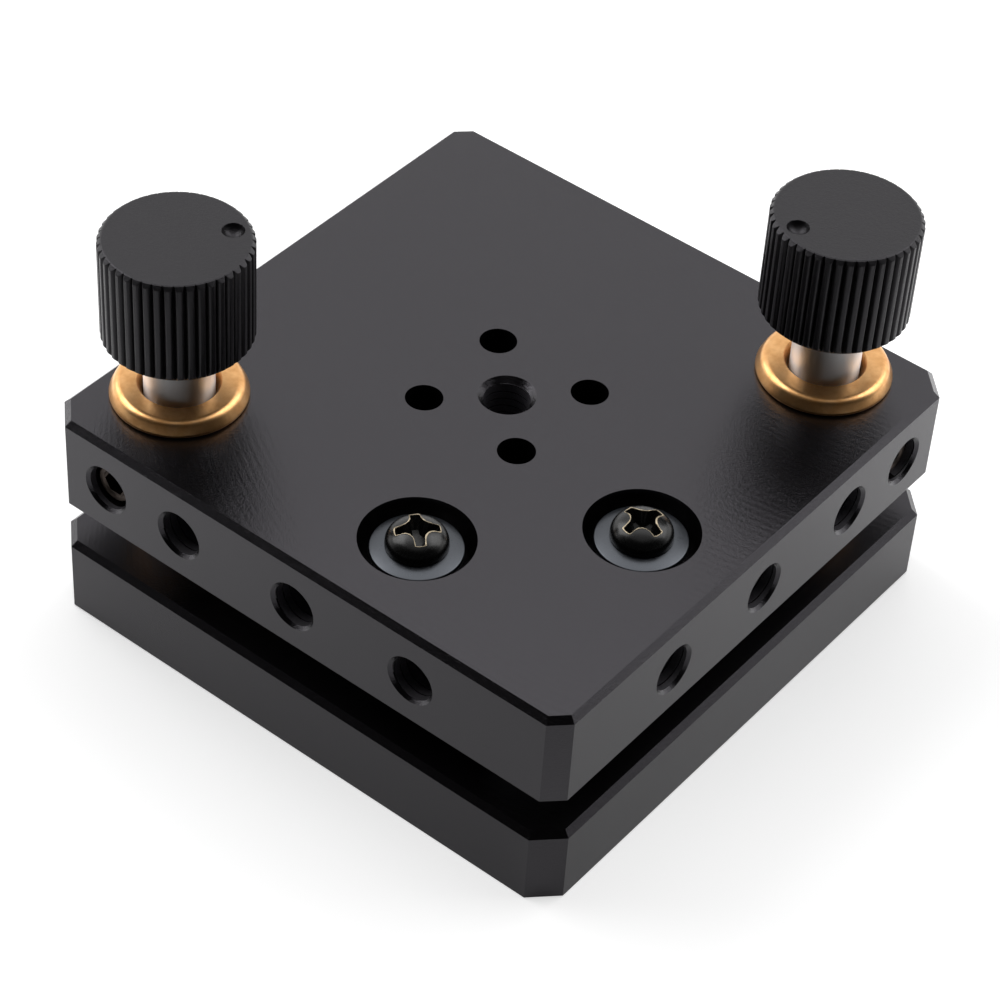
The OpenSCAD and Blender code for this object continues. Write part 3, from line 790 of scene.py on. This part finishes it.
def make_adjusters(tree):
    """Shaft with the ball's socket in its end and a fine thread on its lower part."""
    mouth_angle = math.degrees(math.asin((SHAFT_LOW - BALL_Z) / SOCKET_R))
    thread_rows = round((FINE_THREAD_TOP - SHAFT_LOW - SHAFT_CHAMFER) / FINE_PITCH * 8)
    lower = [(0, BALL_Z + SOCKET_R)] + arc((0, BALL_Z), SOCKET_R, 84, mouth_angle, 12)
    lower += [(SHAFT_R - SHAFT_CHAMFER, SHAFT_LOW)]
    lower += rows(SHAFT_R, SHAFT_LOW + SHAFT_CHAMFER, FINE_THREAD_TOP, thread_rows)
    inputs = {
        "Crest radius": SHAFT_R * MM, "Pitch": FINE_PITCH * MM, "Depth": FINE_DEPTH * MM,
        "Bottom": (SHAFT_LOW + SHAFT_CHAMFER) * MM, "Top": FINE_THREAD_TOP * MM,
        "Material": MATERIALS["shaft_steel"],
    }
    for side in SIDES:
        top = KNOB_UNDER[side]
        upper = [(SHAFT_R, FLANGE_TOP), (SHAFT_R, top - 0.15), (SHAFT_R - 0.15, top)]
        upper += [(STUB_R, top), (STUB_R, top + STUB_H), (0, top + STUB_H)]
        mesh = run_tree(lathe(lower + upper, even_angles(72)), tree, inputs)
        place = shift(ADJUSTER_SPOT[side])
        replaced = "adjuster_screw_" + side
        finish_piece("fine_adjuster_" + side, mesh, "adjuster_" + side, replaced, place)


def make_bushings():
    """Brass bushing whose flange leans in towards a rounded rim, with a countersink at the top."""
    bore, barrel = BUSHING_BORE_R, BUSHING_BARREL_R
    sink, sink_depth = 3.65, 0.8
    foot_round, rim_round = 0.3, 0.8
    rim = FLANGE_R - 1.05
    lean = 26
    top = FLANGE_TOP
    points = [(bore, PLATE_UNDER + 0.3), (bore + 0.3, PLATE_UNDER)]
    points += [(barrel - 0.25, PLATE_UNDER), (barrel, PLATE_UNDER + 0.25)]
    points.append((barrel, PLATE_TOP))
    points += arc((FLANGE_R - foot_round, PLATE_TOP + foot_round), foot_round, -90, lean, 7)
    points += arc((rim, top - rim_round), rim_round, lean, 90, 10)
    points += [(sink + 0.04, top), (sink, top - 0.03), (bore, top - sink_depth)]
    for side in SIDES:
        mesh = lathe(points, even_angles(128), closed=True)
        use_material(mesh, "bushing_brass")
        place = shift(ADJUSTER_SPOT[side])
        finish_piece("turned_bushing_" + side, mesh, "top", "bushing_" + side, place)


# Spring screws, washers and springs


def head_height(out):
    """Height of the domed head at a distance from its axis."""
    foot = WASHER_HIGH + HEAD_FOOT
    share = max(1 - (out / HEAD_R) ** HEAD_POWER, 0) ** (1 / HEAD_POWER)
    return foot + (SCREW_HIGH - foot) * share


def recess_scale(height):
    """How much of its full outline the tapered recess has at a height."""
    low, high = SCREW_HIGH - RECESS_DEPTH, SCREW_HIGH + RECESS_LIFT
    return RECESS_FOOT + (1 - RECESS_FOOT) * (height - low) / (high - low)


def recess_rim(x, y):
    """Point where a line of the recess's wall comes out of the domed head."""
    height = SCREW_HIGH
    for _ in range(20):
        scale = recess_scale(height)
        height = head_height(math.hypot(x, y) * scale)
    return x * scale, y * scale, height


def recess_outline(arm, half, flare):
    """Outline of a cross with rounded inner corners and softly rounded arm ends."""
    outline = []
    for quarter in range(4):
        turn = Matrix.Rotation(quarter * FULL_TURN / 4, 2)
        inner = arm - 0.1
        tip = half * 0.55
        points = [(inner, -half), (arm, -tip), (arm, tip), (inner, half)]
        corner = half + flare
        points += [(corner - flare * math.sin(a), corner - flare * math.cos(a)) for a in FLARE_ANGLES]
        points.append((half, corner))
        outline += [tuple(turn @ Vector(point)) for point in points]
    return outline


def make_screws(thread, bead):
    """Round head screws with a cross recess whose edge is worn bright."""
    thread_low, thread_high = BASE_TOP - THREAD_INTO_BASE, PLATE_TOP - THREAD_UNDER_TOP
    thread_rows = round((thread_high - thread_low) / SPRING_SCREW_PITCH * 10)
    points = [(0, SCREW_LOW), (SPRING_SCREW_R - 0.2, SCREW_LOW), (SPRING_SCREW_R, SCREW_LOW + 0.2)]
    points += rows(SPRING_SCREW_R, thread_low, thread_high, thread_rows)
    points += [(SPRING_SCREW_R, WASHER_HIGH), (HEAD_R - 0.08, WASHER_HIGH), (HEAD_R, WASHER_HIGH + 0.08)]
    dome = [HEAD_R * math.sin(math.radians(angle)) for angle in range(88, 0, -4)]
    points += [(out, head_height(out)) for out in [HEAD_R] + dome] + [(0, SCREW_HIGH)]
    inputs = {
        "Crest radius": SPRING_SCREW_R * MM, "Pitch": SPRING_SCREW_PITCH * MM,
        "Depth": SPRING_SCREW_DEPTH * MM, "Bottom": thread_low * MM, "Top": thread_high * MM,
        "Material": MATERIALS["screw_steel"],
    }
    outline = recess_outline(RECESS_ARM, RECESS_HALF_ARM, RECESS_FLARE)
    inputs_of_bead = {
        "Width": BEAD_WIDTH * MM, "Step": BEAD_STEP * MM, "Patches per metre": BEAD_PATCHES_PER_METRE,
        "Material": MATERIALS["worn_edge"],
    }
    for side in SIDES:
        screw = run_tree(lathe(points, even_angles(64)), thread, inputs)
        recess = tapered_prism(outline, SCREW_HIGH - RECESS_DEPTH, SCREW_HIGH + RECESS_LIFT, RECESS_FOOT)
        mesh = cut_out(screw, recess)
        turned = shift(SPRING_SPOT[side]) @ Matrix.Rotation(RECESS_TURN[side], 4, "Z")
        finish_piece("round_head_screw_" + side, mesh, "base", "spring_screw_" + side, turned)
        edge = bpy.data.meshes.new("edge")
        rim = [Vector(recess_rim(x, y)) * MM for x, y in outline]
        edge.from_pydata(rim, [(here, (here + 1) % len(rim)) for here in range(len(rim))], [])
        line = run_tree(edge, bead, inputs_of_bead)
        finish_piece("worn_recess_edge_" + side, line, "base", None, turned)


def make_washers():
    """Slightly dished washers that slope down from the screw's head to a rounded edge."""
    bore, flat = WASHER_BORE_R, HEAD_R - 0.1
    edge_z = WASHER_HIGH - WASHER_SLOPE * (WASHER_R - flat)
    points = [(bore, WASHER_LOW + 0.05), (bore + 0.05, WASHER_LOW)]
    points += [(WASHER_R - 0.05, WASHER_LOW), (WASHER_R, WASHER_LOW + 0.05)]
    points += arc((WASHER_R - 0.12, edge_z - 0.1), 0.12, 0, 80, 5)
    points += [(flat, WASHER_HIGH), (bore + 0.08, WASHER_HIGH), (bore, WASHER_HIGH - 0.08)]
    for side in SIDES:
        mesh = lathe(points, even_angles(96), closed=True)
        use_material(mesh, "washer_steel")
        place = shift(SPRING_SPOT[side])
        finish_piece("stamped_washer_" + side, mesh, "base", "washer_" + side, place)


def make_springs(tree):
    """Compression springs under the washers."""
    inputs = {
        "Radius": (half_width("spring_left") - WIRE_D / 2) * MM, "Wire": WIRE_D * MM, "Turns": SPRING_TURNS,
        "Height": (SPRING_HIGH - SPRING_LOW) * MM, "Material": MATERIALS["spring_steel"],
    }
    for side in SIDES:
        point = bpy.data.meshes.new("point")
        point.from_pydata([(0, 0, 0)], [], [])
        mesh = run_tree(point, tree, inputs)
        place = shift(SPRING_SPOT[side], SPRING_LOW)
        finish_piece("wound_spring_" + side, mesh, "base", "spring_" + side, place)


# Lock screws and tapped holes


def make_lock_screws(tree):
    """Socket set screws that hold the bushings, with a cut thread and a hexagon socket."""
    low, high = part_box("lock_screw_left")
    length = (high.y - low.y) / MM
    radius = half_width("lock_screw_left")
    points = [(0, -length + 0.25), (radius - 1.1, -length), (radius - LOCK_POINT, -length)]
    points += rows(radius, -length + LOCK_POINT, -LOCK_THREAD_STOP, 26)
    points += [(radius - LOCK_THREAD_STOP, 0), (1.3, 0), (1.15, -0.12), (0, -0.12)]
    inputs = {
        "Crest radius": radius * MM, "Pitch": TAP_PITCH * MM, "Depth": LOCK_THREAD_DEPTH * MM,
        "Bottom": (-length + LOCK_POINT) * MM, "Top": -LOCK_THREAD_STOP * MM,
        "Material": MATERIALS["lock_screw_steel"],
    }
    corner = HEX_HALF_WIDTH / math.cos(math.radians(30))
    hexagon = [(corner * math.cos(a), corner * math.sin(a)) for a in even_angles(6)]
    quarter = math.radians(90)
    outward = {"left": Matrix.Rotation(quarter, 4, "X"), "right": Matrix.Rotation(quarter, 4, "Y")}
    mouth = {"left": Vector((0, -length / 2, 0)), "right": Vector((length / 2, 0, 0))}
    for side in SIDES:
        screw = run_tree(lathe(points, even_angles(48)), tree, inputs)
        mesh = cut_out(screw, tapered_prism(hexagon, -HEX_DEPTH, 0.3, 1.0))
        place = Matrix.Translation((LOCK_SPOT[side] + mouth[side]) * MM) @ outward[side]
        finish_piece("socket_screw_" + side, mesh, "top", "lock_screw_" + side, place)


def mouths(places):
    """Mesh of loose points, each with the direction that leads out of its hole."""
    mesh = bpy.data.meshes.new("mouths")
    mesh.from_pydata([Vector(point) * MM for point, _ in places], [], [])
    axis = mesh.attributes.new("axis", "FLOAT_VECTOR", "POINT")
    axis.data.foreach_set("vector", [c for _, direction in places for c in direction])
    return mesh


def make_threads(tree):
    """Thread ridges in the tapped holes of both plates."""
    side_z = PLATE_TOP - SIDE_DROP
    side_holes = []
    lock_holes = []
    for hole in (-1, 0, 1):
        side_holes.append(((hole * SIDE_SPACING, -HALF_PLATE, side_z), (0, -1, 0)))
        side_holes.append(((HALF_PLATE, -hole * SIDE_SPACING, side_z), (1, 0, 0)))
    lock_holes.append(((ADJUSTER_SPOT["left"].x, -HALF_PLATE, side_z), (0, -1, 0)))
    lock_holes.append(((HALF_PLATE, ADJUSTER_SPOT["right"].y, side_z), (1, 0, 0)))
    centre = [((0, 0, PLATE_TOP), (0, 0, 1))]
    base = [((0, 0, BASE_TOP), (0, 0, 1))]
    centre_depth = PLATE_TOP - PLATE_UNDER - CENTRE_TAP_STOP
    sets = (
        ("side_hole_threads", side_holes, SIDE_TAP_DEPTH, SIDE_MOUTH_R, "top"),
        ("lock_hole_threads", lock_holes, LOCK_TAP_DEPTH, SIDE_MOUTH_R, "top"),
        ("centre_hole_thread", centre, centre_depth, CENTRE_MOUTH_R, "top"),
        ("base_hole_thread", base, BASE_TOP - BASE_TAP_STOP, CENTRE_MOUTH_R, "base"),
    )
    for name, places, depth, mouth_r, body in sets:
        inputs = {
            "Hole radius": TAP_R * MM, "Pitch": TAP_PITCH * MM, "Ridge": TAP_RIDGE * MM, "Depth": depth * MM,
            "Mouth radius": mouth_r * MM, "Material": MATERIALS["tapped_thread"],
        }
        finish_piece(name, run_tree(mouths(places), tree, inputs), body, None)


# Solids that stay in view


def dress_solids():
    """Materials of the plates, the seats and the balls."""
    materials = {"base_plate": "base_plate_anodised", "top_plate": "top_plate_anodised"}
    materials.update(dict.fromkeys(("cone_seat", "vee_seat", "flat_seat", "pivot_cup"), "seat_steel"))
    materials.update(dict.fromkeys(("pivot_ball", "ball_tip_left", "ball_tip_right"), "ball_steel"))
    for node, name in materials.items():
        use_material(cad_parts[node].data, name)


# Studio

# The room is dark on the side that the photograph was taken from. ROOM_SIDE points there, ROOM_SHADE is how
# bright it stays, and FILL is the share of the room's light that falls on matt surfaces.

ROOM_SIDE = Vector((0.589, -0.808, 0.0))
ROOM_SHADE = 0.015
FILL = 0.78


def seen_in_mirrors(tree, path):
    """1 on rays that a shiny or clear surface sends on, and 0 on the others."""
    return add_node(tree, MATH, (path["Is Glossy Ray"], path["Is Transmission Ray"]), operation="MAXIMUM")


def make_world():
    """White studio with a dark room on one side. The plates mirror the soft slope of its walls. Each range
    gives two places in the sky and the brightness at them."""
    world = bpy.data.worlds.new("studio")
    bpy.context.scene.world = world
    world.use_nodes = True
    tree = world.node_tree
    tree.nodes.clear()
    direction = add_node(tree, "ShaderNodeTexCoord").outputs["Generated"]
    along = add_node(tree, VECTOR_MATH, (direction, ROOM_SIDE), operation="DOT_PRODUCT")
    towards_room = along.outputs["Value"]
    upward = add_node(tree, SPLIT, (direction,)).outputs["Z"]
    smooth = "SMOOTHSTEP"
    fade = (towards_room, -0.38, 0.32, 1.0, ROOM_SHADE)
    backdrop = add_node(tree, MAP_RANGE, fade, interpolation_type=smooth)
    low_walls = add_node(tree, MAP_RANGE, (upward, 0.3, 0.58, 1.2, 0.75))
    upper_walls = add_node(tree, MAP_RANGE, (upward, 0.5, 0.68, 0.44, 0.92))
    wall_tops = add_node(tree, MAP_RANGE, (upward, 0.66, 0.76, 0.0, 0.75))
    high_walls = add_node(tree, MATH, (upper_walls, wall_tops), operation="ADD")
    walls = add_node(tree, MATH, (low_walls, high_walls), operation="MAXIMUM")
    ceiling = add_node(tree, MAP_RANGE, (upward, 0.75, 0.96, 0.0, 0.45), interpolation_type=smooth)
    faded_walls = add_node(tree, MATH, (backdrop, walls), operation="MULTIPLY")
    studio = add_node(tree, MATH, (faded_walls, ceiling), operation="MAXIMUM")
    path = add_node(tree, "ShaderNodeLightPath").outputs
    share = add_node(tree, MAP_RANGE, (seen_in_mirrors(tree, path), 0, 1, FILL, 1.0))
    indirect = add_node(tree, MATH, (studio, share), operation="MULTIPLY")
    strength = add_node(tree, MATH, (indirect, path["Is Camera Ray"]), operation="MAXIMUM")
    background = add_node(tree, "ShaderNodeBackground", {"Color": linear("#FFFFFF"), "Strength": strength})
    add_node(tree, "ShaderNodeOutputWorld", {"Surface": background})


def floor_material():
    """Matt paper that looks white to the camera and keeps the object's shadow. Its colour darkens towards
    ROOM_SIDE as painted shade, and in reflections it glows as painted light, brighter behind and near the
    stage. Each range gives two places along ROOM_SIDE, in millimetres, and the brightness at them."""
    material, tree, shader = new_material("white_paper", "#EDEDED", 0.9)
    path = add_node(tree, "ShaderNodeLightPath").outputs
    mirrored = seen_in_mirrors(tree, path)
    place = object_place(tree)
    towards_room = add_node(tree, VECTOR_MATH, (place, ROOM_SIDE), operation="DOT_PRODUCT").outputs["Value"]
    # Painted light: in reflections the paper glows brighter behind and near the stage, and the glow fades
    # towards ROOM_SIDE.
    painted_glow_near = add_node(tree, MAP_RANGE, (towards_room, -10.0, 50.0, 0.24, 0.0))
    painted_glow_behind = add_node(tree, MAP_RANGE, (towards_room, -50.0, -8.0, 0.8, 0.2))
    painted_mirror_glow = add_node(tree, MATH, (painted_glow_near, painted_glow_behind), operation="MAXIMUM")
    seen = add_node(tree, MAP_RANGE, (towards_room, 10.0, 65.0, 0.45, 0.8))
    to_camera = add_node(tree, MATH, (path["Is Camera Ray"], seen), operation="MULTIPLY")
    painted_glow_in_mirrors = add_node(tree, MATH, (mirrored, painted_mirror_glow), operation="MULTIPLY")
    # The paper's glow is the even white backdrop for the camera and the painted glow for reflections,
    # whichever is larger.
    lift = add_node(tree, MATH, (to_camera, painted_glow_in_mirrors), operation="MAXIMUM")
    # Painted shade: the paper's colour darkens towards ROOM_SIDE, under the fibres' faint grain, and the
    # rising glow that the camera sees makes up for it.
    painted_floor_shade = add_node(tree, MAP_RANGE, (towards_room, 10.0, 65.0, 0.0, 1.0))
    fibres = add_node(tree, NOISE, {"Vector": place, "Scale": 0.05, "Detail": 2.0, "Roughness": 0.5})
    grain = add_node(tree, MATH, (fibres, 0.03, painted_floor_shade), operation="MULTIPLY_ADD")
    colours = {0: grain, MIX_LOW: linear("#EEEEEE"), MIX_HIGH: linear("#9C9C9C")}
    colour = add_node(tree, MIX, colours, data_type="RGBA").outputs[MIX_RESULT]
    glow = {"Emission Color": linear("#FFFFFF"), "Emission Strength": lift}
    feed(tree, shader, {"Base Color": colour, "Specular IOR Level": 0.0, **glow})
    return material


def make_floor():
    """Large sheet just under the stage, in metres."""
    half = 3.0
    height = -0.00002
    mesh = bpy.data.meshes.new("floor")
    corners = [(-half, -half, height), (half, -half, height), (half, half, height), (-half, half, height)]
    mesh.from_pydata(corners, [], [(0, 1, 2, 3)])
    mesh.materials.append(floor_material())
    floor = bpy.data.objects.new("floor", mesh)
    bpy.context.scene.collection.objects.link(floor)


def add_lamp(name, place, size, power):
    """Soft square lamp that looks at the stage, with its place and size in metres and its power in watts."""
    lamp = bpy.data.lights.new(name, "AREA")
    lamp.shape = "SQUARE"
    lamp.size = size
    lamp.energy = power
    stand = bpy.data.objects.new(name, lamp)
    stand.location = place
    stand.rotation_euler = (Vector((0, 0, 0.02)) - Vector(place)).to_track_quat("-Z", "Y").to_euler()
    bpy.context.scene.collection.objects.link(stand)


def make_lamps():
    """Two soft lamps, the stronger one on the left."""
    add_lamp("soft_left", (-0.49, -0.12, 0.5), 0.5, 2.1)
    add_lamp("soft_right", (0.26, 0.43, 0.5), 0.5, 1.45)


# Camera, in degrees and millimetres

CAMERA_AZIMUTH = 36.122
CAMERA_ELEVATION = 42.991
CAMERA_ROLL = 3.987
CAMERA_DISTANCE = 283.8
CAMERA_TARGET = Vector((2.565, -3.5, 13.5))
CAMERA_LENS = 117.13


def make_camera():
    """Camera that was fitted to the photograph."""
    azimuth, elevation, roll = (math.radians(a) for a in (CAMERA_AZIMUTH, CAMERA_ELEVATION, CAMERA_ROLL))
    across = math.cos(elevation)
    back = Vector((across * math.sin(azimuth), -across * math.cos(azimuth), math.sin(elevation)))
    level = Vector((math.cos(azimuth), math.sin(azimuth), 0))
    above = back.cross(level)
    right = math.cos(roll) * level + math.sin(roll) * above
    up = back.cross(right)
    data = bpy.data.cameras.new("camera")
    data.sensor_width = 36
    data.lens = CAMERA_LENS
    data.clip_start = 0.01
    data.clip_end = 20
    camera = bpy.data.objects.new("camera", data)
    turn = Matrix((right, up, back)).transposed().to_4x4()
    camera.matrix_world = Matrix.Translation((CAMERA_TARGET + CAMERA_DISTANCE * back) * MM) @ turn
    bpy.context.scene.collection.objects.link(camera)
    bpy.context.scene.camera = camera


make_camera()
make_world()
make_floor()
make_lamps()
bpy.context.scene.view_settings.view_transform = "Standard"

dress_solids()
rod_thread = screw_thread_tree()
make_knobs(knob_tree())
make_adjusters(rod_thread)
make_bushings()
make_screws(rod_thread, worn_line_tree())
make_washers()
make_springs(coil_tree())
make_lock_screws(rod_thread)
make_threads(tapped_thread_tree())
